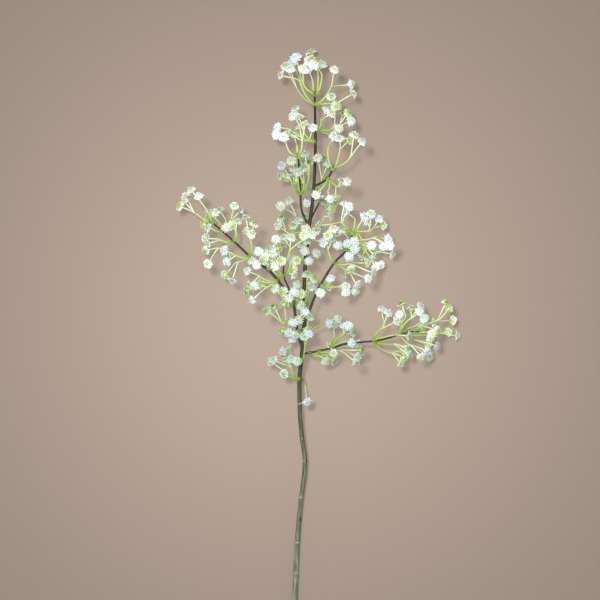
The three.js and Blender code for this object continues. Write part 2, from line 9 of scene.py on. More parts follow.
import bpy
import numpy as np
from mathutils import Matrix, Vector


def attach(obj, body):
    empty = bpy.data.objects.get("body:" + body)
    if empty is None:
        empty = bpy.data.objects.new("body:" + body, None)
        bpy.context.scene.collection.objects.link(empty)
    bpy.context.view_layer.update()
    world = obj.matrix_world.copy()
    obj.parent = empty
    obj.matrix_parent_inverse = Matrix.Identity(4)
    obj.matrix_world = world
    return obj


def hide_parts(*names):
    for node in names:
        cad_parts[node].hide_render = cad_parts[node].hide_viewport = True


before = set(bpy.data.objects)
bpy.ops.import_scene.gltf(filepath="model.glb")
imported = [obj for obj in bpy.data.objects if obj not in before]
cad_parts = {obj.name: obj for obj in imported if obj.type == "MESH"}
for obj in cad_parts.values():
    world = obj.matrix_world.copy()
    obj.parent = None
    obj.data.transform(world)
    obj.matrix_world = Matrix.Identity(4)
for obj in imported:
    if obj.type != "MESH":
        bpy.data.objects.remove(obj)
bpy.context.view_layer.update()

# ---------------------------------------------------------------- dimensions of the solids, in millimetres

MM = 0.001
GAP = 0.3  # clearance between pieces that hold each other
CLEAR = 0.8  # free space to leave between sprigs
PLAN_CENTRE = (318.5, 349.5)  # the point of the plan that lies at the frame's origin
STEM_TAPER = 2.5  # 1 is a straight cone; more keeps a stem thick for longer
KNUCKLE_RISE = 0.45
KNUCKLES = [0.8, 1.45, 2.0, 3.08, 4.67, 6.0, 7.2]  # the swollen rings of the main stem, in route points
COLLAR_LENGTH, COLLAR_WALL = 3.4, 1
COLLAR_ROOT = 0.75  # how far out in the wall of its collar an arm starts, as a share of it
ARM_ROOT, PEDICEL_ROOT = 1.05, 0.8  # radii of the solid stalks
ARM_SIDEWAYS, ARM_ALONG = 0.6, 0.35  # how far an arm's curve turns sideways and along the stem
PEDICEL_SPACING, PEDICEL_LOWEST = 2.2, 0.8  # how far apart pedicels start, and the farthest from the fork
PEDICEL_TURN = 0.45  # how far below its floret a pedicel's curve turns, as a share of its length
STRAIGHT_STALK = 16.5  # a longer stalk of the solids has a station midway
FLORET_RADIUS, FLORET_LOBES, CALYX = 5.5, 5, 2.4
FLORET_BALL = 0.3  # the radius of the balls that fill a floret, as a share of its own
FLORET_FLOOR, FORK_FLOOR, CEILING = 5.7, 3, 62  # the lowest floret and fork, and the highest of either
ARM_RISE, PEDICEL_RISE = 0.55, 0.85  # the most that a stalk climbs or falls, as a share of its reach
LEAN_SPREAD = 0.8  # how much the florets of a sprig differ in how far they turn up
FRONT_THICK, FRONT_REACH, FRONT_RISE = 1.3, 3, 3.5  # florets lie in front of the thick stems they cross
HEIGHT_STEP, HEIGHT_TRIES = 1.5, 40  # the heights that the layout tries
BALL_STEP = 0.2  # from one ball of a stem to the next, in route points
BALL_PLACES = (0.3, 0.4, 0.5, 0.6, 0.7, 0.8, 0.9, 1)  # the balls of a stalk, past its root
MOST_BALLS = 8000
NEARBY = 0.1  # how far to look along a route to see the way that it runs, in route points
GOLDEN, SILVER = 0.61803399, 0.41421356  # steps of the even spread

# ---------------------------------------------------------------- the plan, as in the solids

# Stems: radii at the two ends, and points [x, y, z] along each route.
STEMS = {
    "main_stem": {
        "radii": [2.55, 1.15],
        "knuckles": KNUCKLES,
        "route": [
            [293.2, 649, 2.55], [294.8, 600, 3.2], [297.3, 543, 4.5], [300.9, 500, 6.5], [304.3, 474, 8.5],
            [304.6, 456, 10], [302, 438, 11.5], [299.8, 410, 14], [299.6, 379, 17], [302, 354, 20],
            [304, 330, 22.5], [304.6, 305, 25], [304.6, 283, 26.5], [305.5, 260, 28], [307.6, 240, 29],
            [310, 220, 29.5], [312.4, 203, 29.5], [314, 184, 29], [315.2, 160, 28], [315.4, 137, 27],
            [315.2, 120, 26], [314.8, 104, 25], [314.6, 91, 24],
        ],
    },
    "left_branch": {
        "radii": [1.6, 0.85],
        "route": [
            [303, 350, 21], [298, 334, 25], [295.6, 318, 27], [293, 303, 27.5], [287, 293, 26.5],
            [277.5, 280, 27.5], [268.5, 270, 28], [259, 264, 28], [249.5, 256, 27.5], [233.5, 241, 26],
            [221.5, 230.5, 24.5], [209, 219.5, 23],
        ],
    },
    "inner_twig": {
        "radii": [1.05, 0.85],
        "route": [[291.3, 297.5, 29], [289, 289, 32], [283.5, 275, 34], [284.5, 260, 34]],
    },
    "right_branch": {
        "radii": [1.35, 0.95],
        "route": [
            [304.2, 324, 23], [309.6, 310, 28], [314.6, 297, 30.5], [320.5, 285, 31.5], [327.5, 273, 32],
            [334.5, 262.5, 33], [342.5, 254.5, 33.5], [348, 249, 33.5], [351, 240, 33], [352.3, 229.5, 32],
        ],
    },
    "low_branch": {
        "radii": [1.15, 0.75],
        "route": [
            [302.5, 354, 20], [310, 352.8, 21], [319, 350.8, 22], [332, 348, 23], [345, 344, 24],
            [360, 342.2, 24], [374.5, 341, 24], [388, 338.2, 23.5], [402.5, 333.5, 23], [414, 331.3, 22.5],
            [419, 330.6, 22.3],
        ],
    },
    "left_twig": {
        "radii": [1.25, 0.9],
        "route": [
            [309, 226, 29.5], [303.5, 216, 32], [301, 206, 32], [300.5, 193, 32], [299.8, 178, 31.5],
            [298.8, 164, 31], [298, 153.5, 30],
        ],
    },
    "middle_twig": {
        "radii": [0.9, 0.75],
        "route": [[310.2, 221, 29.5], [314.5, 212, 26.5], [318.5, 204, 24.5], [321, 197, 23]],
    },
    "right_twig": {
        "radii": [1.25, 1],
        "route": [
            [314, 186.5, 28.8], [321, 183, 30.5], [327.5, 178.5, 32], [331.3, 172, 33], [333.3, 165.5, 33.5],
        ],
    },
}

# Sprigs: the stem that carries each one, its place on the route, how far its florets turn up, and its arms.
# An arm lists plan points: the fork first, then the florets that its pedicels reach. A third number is a
# height. A value after the arms is the size of the sprig's florets.
SPRIGS = {
    "crown": ["main_stem", 21.82, 0.85, [
        [[303, 83], [296, 57], [303, 69]],
        [[322, 76], [309, 60], [311, 52]],
        [[318, 72], [321, 64], [313, 65]],
        [[301, 81, 14], [292, 62, 5.6]],
        [[313, 83], [308, 68]],
    ], 1.18],
    "crown_whorl": ["main_stem", 21, 0.6, [
        [[297, 88], [285, 66], [290, 69]],
        [[300, 82], [281, 75]],
        [[331, 87], [334, 70], [351, 84]],
        [[335, 103], [353, 94], [331, 97], [338, 106]],
    ]],
    "upper_right": ["main_stem", 19.35, 0.7, [
        [[321, 120], [327, 109], [331, 113]],
        [[331, 129], [335, 106]],
        [[338, 127], [343, 114], [348, 113], [351, 121]],
        [[330, 135], [339, 128], [335, 135]],
    ]],
    "upper_left": ["main_stem", 18.8, 0.6, [
        [[301, 140], [289, 133]],
        [[303, 130], [299, 117], [296, 109], [293, 116]],
        [[310, 138], [313, 128]],
        [[291, 130], [277, 127], [276, 135]],
    ]],
    "left_twig_tip": ["left_twig", 5.85, 0.4, [
        [[289, 151], [284, 137]],
        [[297, 147], [294, 135]],
        [[302, 144], [300, 128], [305, 124]],
    ]],
    "right_twig_tip": ["right_twig", 3.85, 0.3, [
        [[328, 149], [334, 136]],
        [[340, 149], [340, 139], [348, 141]],
        [[349, 159], [354, 135], [362, 142]],
    ]],
    "left_twig_whorl": ["left_twig", 3, 0.4, [
        [[291, 180], [281, 176], [288, 177], [282, 165]],
        [[304, 183], [303, 169], [298, 173]],
        [[298, 178, 37.5], [291, 161], [294, 168]],
        [[309, 175], [309, 163], [305, 155], [299, 158]],
    ]],
    "leader_whorl": ["main_stem", 16.65, 0.5, [
        [[322, 178], [324, 159], [328, 164], [318, 158]],
        [[307, 187], [297, 180]],
    ]],
    "right_twig_whorl": ["right_twig", 2, 0.5, [
        [[338, 187], [341, 181], [347, 182], [336, 197]],
        [[321, 189], [320, 196], [316, 195]],
        [[328, 191], [330, 199], [335, 202]],
    ]],
    "middle_twig_tip": ["middle_twig", 2.75, 0.8, [
        [[326, 209], [332, 208], [327, 203]],
        [[315, 201], [306, 203]],
    ]],
    "leader_fork": ["main_stem", 14.4, 0.8, [
        [[324, 217], [330, 216]],
        [[302, 224], [305, 217], [298, 221]],
        [[296, 216], [289, 201], [280, 206]],
        [[294, 234], [294, 225]],
        [[304, 235], [306, 229]],
        [[289, 234], [281, 218], [278, 226]],
    ]],
    "leader_low": ["main_stem", 13.9, 1, [
        [[312, 238], [316, 231], [323, 242]],
        [[303, 242], [304, 236]],
    ]],
    "centre_whorl": ["main_stem", 12.9, 0.8, [
        [[311, 257], [317, 253], [309, 261]],
        [[303, 254, 34], [301, 245], [307, 242, 39], [305, 251]],
        [[298, 263], [291, 259]],
    ]],
    "inner_tip": ["inner_twig", 2.85, 0.7, [
        [[279, 252], [277, 246], [276, 239], [282, 246]],
        [[290, 249], [284, 237], [291, 238], [312, 235]],
    ]],
    "inner_whorl": ["inner_twig", 1.95, 0.6, [
        [[277, 262], [269, 249], [273, 254], [265, 257]],
        [[290, 264], [297, 261]],
        [[290, 272], [293, 268], [294, 275]],
        [[273, 271], [275, 266]],
    ]],
    "left_low": ["left_branch", 2, 0.4, [
        [[284, 323], [274, 307], [267, 311], [284, 304]],
        [[287, 333], [282, 331], [289, 333]],
        [[302, 323], [299, 320], [293, 322]],
    ]],
    "left_whorl_1": ["left_branch", 3, 0.5, [
        [[284, 300], [275, 288], [283, 291]],
        [[296, 293], [297, 284], [294, 292], [302, 294]],
        [[288, 307], [289, 298]],
    ]],
    "left_whorl_2": ["left_branch", 5, 0.4, [
        [[259, 276], [247, 271], [250, 284], [254, 286]],
        [[266, 288], [252, 300], [261, 286]],
        [[262, 281], [247, 291]],
    ]],
    "left_whorl_3": ["left_branch", 6.05, 1.2, [
        [[268, 259], [263, 260], [271, 263]],
        [[280, 265], [281, 261]],
    ]],
    "left_whorl_4": ["left_branch", 7, 1, [
        [[262, 255], [258, 251]],
        [[254, 265, 34], [252, 261], [257, 265]],
    ]],
    "left_whorl_5": ["left_branch", 8, 0.2, [
        [[250, 239], [246, 218], [254, 224], [247, 231], [251, 234]],
        [[238, 262], [225, 275], [232, 280]],
        [[233, 254], [224, 250], [229, 256], [227, 262]],
    ]],
    "left_whorl_6": ["left_branch", 9, 0.2, [
        [[232, 219], [234, 206], [240, 210]],
        [[218, 248], [206, 250], [208, 264]],
        [[221, 240], [206, 238], [208, 243]],
        [[236, 231], [237, 222], [232, 225]],
    ]],
    "left_whorl_7": ["left_branch", 10, 0.4, [
        [[213, 229], [204, 224], [208, 228]],
        [[216, 219], [216, 212], [209, 213]],
        [[226, 222], [220, 210], [226, 228]],
    ]],
    "left_tip": ["left_branch", 10.85, 0.2, [
        [[195, 213, 14], [180, 206], [185, 196, 5], [184, 202]],
        [[200, 201], [191, 190], [199, 197]],
    ]],
    "trunk_whorl_1": ["main_stem", 11, 1, [
        [[297, 300], [301, 306], [305, 312]],
        [[308, 293], [312, 287]],
        [[307, 284, 33], [307, 274], [314, 278]],
    ]],
    "trunk_whorl_2": ["main_stem", 10, 0.5, [
        [[298, 330, 30], [295, 335]],
        [[308, 324], [310, 317], [308, 331]],
        [[327, 319], [330, 324], [335, 325], [338, 319]],
    ]],
    "trunk_whorl_3": ["main_stem", 8.72, 0.3, [
        [[305, 345, 27], [303, 337], [309, 334, 43]],
        [[289, 347], [283, 352], [292, 339]],
        [[292, 367], [286, 361], [291, 359], [297, 361]],
    ]],
    "lowest": ["main_stem", 8, 0.2, [
        [[284, 372], [271, 361], [284, 374]],
        [[292, 370], [274, 360]],
        [[305, 385, 5], [307, 402, 24]],
    ]],
    "right_whorl_1": ["right_branch", 3, 0.6, [
        [[331, 282], [330, 278], [329, 287]],
        [[340, 286], [347, 287], [346, 292], [356, 291]],
        [[323, 289], [320, 293]],
    ]],
    "right_whorl_2": ["right_branch", 5, 0.6, [
        [[328, 248], [324, 243], [331, 241]],
        [[350, 263], [351, 268], [367, 263], [373, 273]],
        [[351, 272], [345, 274], [368, 279], [357, 285]],
    ]],
    "right_whorl_3": ["right_branch", 6.9, 1.3, [
        [[340, 241], [338, 246]],
        [[348, 240], [342, 230], [347, 244]],
        [[355, 252, 42], [349, 257], [355, 249], [355, 241, 46]],
    ]],
    "right_whorl_4": ["right_branch", 8, 1.2, [
        [[375, 237], [388, 239], [384, 247], [390, 246]],
        [[369, 248], [372, 245], [362, 256], [374, 255]],
        [[374, 250], [392, 254], [379, 249]],
        [[371, 259], [376, 267], [381, 265]],
    ]],
    "right_tip": ["right_branch", 8.85, 0.9, [
        [[342, 222], [344, 204], [349, 206], [319, 225]],
        [[355, 220], [347, 212]],
        [[358, 228], [364, 217], [368, 222]],
        [[369, 231], [380, 219], [371, 214], [383, 225]],
        [[338, 236], [333, 229], [334, 237], [328, 236]],
        [[361, 238], [366, 246]],
    ]],
    "low_whorl_1": ["low_branch", 1, 0.4, [
        [[319, 356], [326, 361], [334, 361]],
    ]],
    "low_whorl_2": ["low_branch", 2, 0.4, [
        [[343, 350], [357, 357], [361, 350], [356, 362]],
        [[329, 355], [334, 353]],
    ]],
    "low_whorl_3": ["low_branch", 3, 0.4, [
        [[334, 337], [333, 326], [331, 345]],
        [[343, 335], [344, 326], [348, 325], [353, 332]],
        [[350, 340], [352, 343], [358, 344]],
    ]],
    "low_whorl_4": ["low_branch", 6, 0.2, [
        [[383, 327], [382, 309], [388, 313], [397, 321]],
        [[391, 353], [401, 363], [405, 350], [404, 357]],
        [[394, 344], [408, 348], [409, 355]],
        [[395, 335, 29], [409, 336]],
    ]],
    "low_whorl_5": ["low_branch", 7.85, 0.3, [
        [[405, 318], [402, 304], [399, 314], [397, 318]],
        [[411, 318], [411, 309], [420, 306], [420, 312]],
        [[410, 345], [421, 356], [430, 357], [427, 351]],
    ]],
    "low_whorl_6": ["low_branch", 8.3, 0.6, [
        [[413, 327], [425, 318], [423, 325]],
        [[424, 335], [431, 338]],
        [[415, 340], [428, 345], [437, 346]],
    ]],
    "low_tip": ["low_branch", 9.5, 0.3, [
        [[437, 321], [449, 309], [446, 303], [453, 320]],
        [[439, 333, 14], [449, 333], [457, 336, 5.2]],
        [[424, 326], [433, 322], [437, 330]],
        [[425, 332], [432, 334]],
    ]],
}

# ---------------------------------------------------------------- the layout rule, as in the solids

UP = np.array([0.0, 0.0, 1.0])


def unit(v):
    """A vector of length 1 that points the same way."""
    return v / math.sqrt(v @ v)


def mix(a, b, t):
    """The value at a share of the way from a to b."""
    return a + (b - a) * t


def place(point, z):
    """A plan point at a height, in the frame."""
    return np.array([point[0] - PLAN_CENTRE[0], PLAN_CENTRE[1] - point[1], z], float)


def spread(k, salt):
    """An even spread of values from -1 to 1."""
    return ((k * GOLDEN + salt * SILVER) % 1) * 2 - 1


def along(points, u):
    """A point of the Catmull-Rom curve through a route; u counts route points."""
    last = len(points) - 1
    ends = {-1: 2 * points[0] - points[1], last + 1: 2 * points[last] - points[last - 1]}
    i = min(math.floor(u), last - 1)
    a, b, c, d = (ends[k] if k in ends else points[k] for k in range(i - 1, i + 3))
    slope, swing, twist = c - a, 2 * a - 5 * b + 4 * c - d, 3 * (b - c) + d - a
    t = u - i
    return b + 0.5 * t * slope + 0.5 * t**2 * swing + 0.5 * t**3 * twist


def stretch(points, u, reach):
    """The stretch of a route that reaches a distance to both sides of u."""
    pace = np.linalg.norm(along(points, u - NEARBY) - along(points, u + NEARBY)) / (2 * NEARBY)
    return max(u - reach / pace, 0), min(u + reach / pace, len(points) - 1)


def bend(curve, t):
    """A point of the quadratic curve from the first point to the last that bends towards the second."""
    a, b, c = curve
    return (1 - t) ** 2 * a + 2 * t * (1 - t) * b + t**2 * c


def frames_along(points, first_ahead=None):
    """(side, over, ahead) at each point of a path, turning as little as they can from one to the next."""
    found = []
    side = None
    for i in range(len(points)):
        ahead = unit(points[min(i + 1, len(points) - 1)] - points[max(i - 1, 0)])
        if i == 0 and first_ahead is not None:
            ahead = first_ahead
        if side is None:
            side = np.array([ahead[1], -ahead[0], 0.001])  # never zero, also for an upright path
        side = unit(side - (side @ ahead) * ahead)
        found.append((side, np.cross(ahead, side), ahead))
    return found


for stem in STEMS.values():
    stem["points"] = [place(point, point[2]) for point in stem["route"]]
    stem["last"] = len(stem["points"]) - 1


def stem_radius(stem, u):
    """The radius of a solid stem at a place on its route."""
    return mix(*stem["radii"], (max(u, 0) / stem["last"]) ** STEM_TAPER)


class Space:
    """Everything in place, as balls with an owner: a sprig's index, or a number below 0 for a stem.

    Stalks of one owner may cross each other.
    """

    def __init__(self, most):
        self.at = np.zeros((most, 3))
        self.radius = np.zeros(most)
        self.owner = np.zeros(most, int)
        self.stalk = np.zeros(most, bool)
        self.count = 0

    def add(self, at, radius, owner, stalk):
        """Puts balls of one radius and one owner in place."""
        at = np.atleast_2d(at)
        rows = slice(self.count, self.count + len(at))
        self.at[rows], self.radius[rows] = at, radius
        self.owner[rows], self.stalk[rows] = owner, stalk
        self.count += len(at)

    def room(self, at, radius, owner, stalk):
        """The least free space round balls."""
        others = slice(0, self.count)
        free = np.linalg.norm(at[:, None] - self.at[None, others], axis=2) - radius - self.radius[others]
        if stalk:
            free[:, (self.owner[others] == owner) & self.stalk[others]] = np.inf
        return free.min()


space = Space(MOST_BALLS)
for number, stem in enumerate(STEMS.values()):
    u = 0
    while u <= stem["last"]:
        space.add(along(stem["points"], u), stem_radius(stem, u), -1 - number, False)
        u += BALL_STEP


def clear_height(wanted, floor, room_at):
    """The height nearest to the wanted one with enough room, or the best one that there is."""
    best_free, best_z = -math.inf, floor
    for step in range(HEIGHT_TRIES):
        z = wanted + (1 if step % 2 else -1) * math.ceil(step / 2) * HEIGHT_STEP
        z = min(max(z, floor), CEILING)
        free = room_at(z)
        if free > best_free:
            best_free, best_z = free, z
        if free >= CLEAR:
            break
    return best_z


def floret_floor(plan, radius):
    """The lowest middle of a floret at a plan point: above the thick stems that it crosses there."""
    away = np.linalg.norm(space.at[:, :2] - place(plan, 0)[:2], axis=1)
    thick = (space.owner < 0) & (space.radius > FRONT_THICK)
    crossed = thick & (away < space.radius + FRONT_REACH)
    in_front = space.at[crossed, 2] + space.radius[crossed] + FRONT_RISE
    return max(FLORET_FLOOR * radius / FLORET_RADIUS, *in_front, 0)


def stalk_balls(curve):
    """The middles of the balls along a stalk."""
    return np.array([bend(curve, t) for t in BALL_PLACES])


def floret_balls(curve, facing, radius):
    """The middles of the balls that fill a floret: one in its middle, and a ring round it."""
    side, over, _ = frames_along([curve[2], curve[2] + facing])[0]
    middle = curve[2] + CALYX * facing
    angles = np.arange(FLORET_LOBES) / FLORET_LOBES * 2 * math.pi
    ring = np.cos(angles)[:, None] * side + np.sin(angles)[:, None] * over
    return np.vstack([middle, middle + (1 - FLORET_BALL) * radius * ring])


def arm_curve(centre, ahead, bore, fork):
    """The curve of an arm, which leaves its collar sideways and turns along the stem."""
    out = fork - centre
    along_stem = out @ ahead
    out = out - along_stem * ahead
    sideways = math.sqrt(out @ out)
    out = unit(out)
    root = centre + (bore + COLLAR_ROOT * COLLAR_WALL) * out
    return [root, root + ARM_SIDEWAYS * sideways * out + ARM_ALONG * along_stem * ahead, fork]


def pedicel(start, middle, lean):
    """The curve of a pedicel, and the way that its floret faces."""
    facing = unit(unit(middle - start) + lean * UP)
    end = middle - CALYX * facing
    length = np.linalg.norm(end - start)
    return [start, end - PEDICEL_TURN * length * facing, end], facing


def lay_floret(sprig, plan, fork, previous, k, j):
    """The curve of pedicel j of arm k, and the way that its floret faces."""
    index, radius = sprig["index"], sprig["floret_radius"]
    share = min(j * PEDICEL_SPACING / np.linalg.norm(fork - previous), PEDICEL_LOWEST)
    start = mix(fork, previous, share)
    lean = sprig["turn"] + LEAN_SPREAD * spread(5 * j + 2 * k, index + 7)
    reach = np.linalg.norm(place(plan, start[2]) - start)
    aim = start[2] + spread(7 * j + k, index + 3) * PEDICEL_RISE * reach

    def room_at(z):
        stalk, facing = pedicel(start, place(plan, z), lean)
        return min(
            space.room(floret_balls(stalk, facing, radius), FLORET_BALL * radius, index, False),
            space.room(stalk_balls(stalk), PEDICEL_ROOT, index, True),
        )

    z = plan[2] if len(plan) > 2 else clear_height(aim, floret_floor(plan, radius), room_at)
    stalk, facing = pedicel(start, place(plan, z), lean)
    space.add(floret_balls(stalk, facing, radius), FLORET_BALL * radius, index, False)
    space.add(stalk_balls(stalk), PEDICEL_ROOT, index, True)
    return stalk, facing


def lay_arm(sprig, arm_plan, k):
    """The curve of arm k, and what lay_floret gives for each of its florets."""
    (fork_plan, *floret_plans), index, centre = arm_plan, sprig["index"], sprig["centre"]

    def arm_at(z):
        return arm_curve(centre, sprig["ahead"], sprig["bore"], place(fork_plan, z))

    def room_at(z):
        return space.room(stalk_balls(arm_at(z)), ARM_ROOT, index, True)

    reach = np.linalg.norm(place(fork_plan, centre[2]) - centre)
    free_choice = centre[2] + spread(3 * k + 1, index) * ARM_RISE * reach
    wanted = fork_plan[2] if len(fork_plan) > 2 else free_choice
    curve = arm_at(clear_height(wanted, FORK_FLOOR, room_at))
    space.add(stalk_balls(curve), ARM_ROOT, index, True)
    fork = curve[2]
    long = np.linalg.norm(fork - curve[0]) > STRAIGHT_STALK
    previous = bend(curve, 0.5) if long else curve[0]
    return curve, [lay_floret(sprig, plan, fork, previous, k, j) for j, plan in enumerate(floret_plans)]


def lay_out(name, index):
    """Where a sprig goes: its collar, and its arms with their pedicels."""
    on, u, turn, arms, *size = SPRIGS[name]
    stem = STEMS[on]
    ends = [along(stem["points"], end) for end in stretch(stem["points"], u, COLLAR_LENGTH / 2)]
    sprig = {
        "index": index, "turn": turn, "stem": stem, "u": u, "ends": ends,
        "centre": (ends[0] + ends[1]) / 2,
        "ahead": unit(ends[1] - ends[0]),
        "bore": stem_radius(stem, u) + GAP,
        "floret_radius": FLORET_RADIUS * (size[0] if size else 1),
    }
    space.add(sprig["centre"], sprig["bore"] + COLLAR_WALL, index, True)
    sprig["arms"] = [lay_arm(sprig, arm, k) for k, arm in enumerate(arms)]
    return sprig


# ---------------------------------------------------------------- skins

# A paint has three parts. On a sprig they are lime, from white to lime green; shade, painted shade that
# darkens it towards the crease colour, in creases and on sprigs given painted shade, with a random darkening
# of petals;
# and dark, how much stem coating is on it. On a stem they are risen, from 0 at the main stem's foot to 1
# at a tip; ring, how much of a knuckle it is; and bud, how much of the green end.


class Skin:
    """Closed bodies drawn through rings of points, with a paint at each point."""

    def __init__(self):
        self.at, self.paint, self.quads, self.tris = [], [], [], []
        self.count = 0

    def through(self, rings, paint, endless=False):
        """One body through rings of equal counts, closed by its ends or by running on to the first ring."""
        rows, sides = rings.shape[:2]
        paint = np.broadcast_to(paint, rings.shape)
        index = self.count + np.arange(rows * sides).reshape(rows, sides)
        self.at.append(rings.reshape(-1, 3))
        self.paint.append(paint.reshape(-1, 3))
        self.count += rows * sides
        low, high = (index, np.roll(index, -1, 0)) if endless else (index[:-1], index[1:])
        after = np.roll(low, -1, 1), np.roll(high, -1, 1)
        self.quads.append(np.stack([low, after[0], after[1], high], -1).reshape(-1, 4))
        if endless:
            return
        for ring, row, turn in ((index[0], 0, -1), (index[-1], -1, 1)):
            self.at.append(rings[row].mean(0)[None])
            self.paint.append(paint[row].mean(0)[None])
            middle = np.full(sides, self.count)
            self.tris.append(np.stack([middle, ring, np.roll(ring, -1)][:: turn], -1))
            self.count += 1


def circles(points, radii, sides, first_ahead=None):
    """Rings of a round bar along points."""
    angles = np.arange(sides) / sides * 2 * math.pi
    cos, sin = np.cos(angles)[:, None], np.sin(angles)[:, None]
    rings = []
    for at, radius, (side, over, _) in zip(points, radii, frames_along(points, first_ahead)):
        rings.append(at + np.reshape(radius, (-1, 1)) * (cos * side + sin * over))
    return np.array(rings)


def paints(lime, shade=0.0, dark=0.0):
    """A paint for each ring, from a value or a list of values for each of its three parts."""
    parts = np.broadcast_arrays(np.asarray(lime, float), np.asarray(shade, float), np.asarray(dark, float))
    return np.stack(parts, -1)[..., None, :]


# ---------------------------------------------------------------- tints

# How dull each sprig is: partly its plastic's tone, partly painted light and shade where light falls less.
GREYS_AND_SHADES = {
    -0.5: {"crown", "left_twig_tip", "left_tip"},
    -0.3: {"crown_whorl", "upper_left"},
    -0.2: {"upper_right", "right_twig_tip", "right_whorl_4", "low_tip"},
    -0.05: {"left_whorl_6", "right_tip", "low_whorl_5"},
    0.35: {
        "leader_whorl", "leader_fork", "left_twig_whorl", "left_whorl_1", "right_whorl_3", "lowest",
        "low_whorl_1", "low_whorl_2", "low_whorl_3",
    },
    0.6: {"middle_twig_tip", "centre_whorl", "left_low", "trunk_whorl_1", "trunk_whorl_2", "trunk_whorl_3"},
}
USUAL_GREY_AND_SHADE = 0.12  # of every other sprig
DULL_GREY_AND_SHADE = 0.3  # a sprig past this is also a warmer white and greener
BLUISH_WHITE, USUAL_WHITE, WARM_WHITE = 0.06, 0.14, 0.22
USUAL_GREEN, STRONG_GREEN = 0.95, 1.1
BLUISH = {
    "right_whorl_1", "right_whorl_2", "right_whorl_3", "right_whorl_4", "right_tip", "leader_low",
    "left_whorl_4", "trunk_whorl_3", "lowest", "low_whorl_3", "upper_left",
}
GREENISH = {
    "upper_right", "leader_whorl", "middle_twig_tip", "inner_whorl", "left_whorl_1", "left_whorl_3",
    "left_whorl_7", "trunk_whorl_1", "low_whorl_4", "low_whorl_6", "low_tip",
}

# How strong the green wash is: values for these shares of a sprig's florets.
WASH_SHARES = (0, 0.3, 0.7, 1)
USUAL_WASHES = (0.05, 0.1, 0.24, 0.8)
GREEN_WASHES = (0.1, 0.2, 0.45, 0.9)


def sprig_tint(name, florets, draw):
    """How dull (tone and painted shade), warm and green a sprig is, and how strong each floret's wash is."""
    grey_and_shade = next((value for value, names in GREYS_AND_SHADES.items() if name in names), USUAL_GREY_AND_SHADE)
    green = name in GREENISH
    plain_white = WARM_WHITE if grey_and_shade > DULL_GREY_AND_SHADE else USUAL_WHITE
    places = (np.arange(florets) + 0.5) / florets
    washes = np.interp(places, WASH_SHARES, GREEN_WASHES if green else USUAL_WASHES)
    return {
        "grey_and_shade": grey_and_shade,
        "white": BLUISH_WHITE if name in BLUISH else plain_white,
        "green": STRONG_GREEN if green or grey_and_shade > DULL_GREY_AND_SHADE else USUAL_GREEN,
        "washes": iter(draw.permutation(washes)),
    }


# ---------------------------------------------------------------- florets

# Layers of petals from the rim up: reach is a share of the floret's radius, height is over the pedicel's end.
LAYERS = [
    {"petals": 12, "reach": 0.97, "height": 2.5, "droop": 1.3},
    {"petals": 10, "reach": 0.85, "height": 3.4, "droop": 0.9},
    {"petals": 8, "reach": 0.66, "height": 4.3, "droop": 0.4},
    {"petals": 5, "reach": 0.42, "height": 4.9, "droop": -0.3},
]
PETAL_CORNERS = 5  # points round the edge of each petal
PETAL_NOTCHES = (0.2, 0.46)  # how deep the notch between two petals may be, as a share of their length
NOTCH_POWER = 2.5  # more makes the notches narrower
PETAL_ARCH, PETAL_TILT = 0.6, 0.5
PETAL_UNLIKE, EDGE_UNLIKE = 0.08, 0.05  # how much petals differ in length, and the points of their edges
PETAL_LONGEST = 1.06  # as a share of the floret's radius
PETAL_DULL = 0.45  # how much darker than its layer one petal may be
UNDER_LIME, RIM_LIME = 0.5, 0.08  # how green a petal is underneath: more towards the middle, and at least
NOTCH_SHADE, MIDDLE_SHADE, DEEPEST = 0.9, 0.4, 1.3  # painted shade: in the notches between petals, towards the middle on top, and the most

# The rings of a layer, first underneath and then on top: how far out they lie, and their height in it.
PETAL_RINGS = [
    (0.12, -0.16), (0.6, -0.16), (0.93, -0.13), (1.0, 0.0), (0.93, 0.13), (0.62, 0.16), (0.3, 0.16),
]

# The green cup under a floret: height over the end of the pedicel, and radius.
CUP = [(-0.5, 0.5), (0.1, 0.8), (0.7, 1.4), (1.3, 2.1), (1.8, 2.7), (2.1, 3.1)]
CUP_SIDES, CUP_LIME = 10, (0.8, 0.5)

FLORET_UNLIKE = 0.12  # how much florets turn away from their pedicels
FLORET_SIZES = (0.94, 1.05)
WASH_HEIGHT = 4  # of the middle of the green wash, over the pedicel's end
WASH_ASTRAY, WASH_REACH = 0.25, 0.6  # how far off the floret's middle it is, and how wide


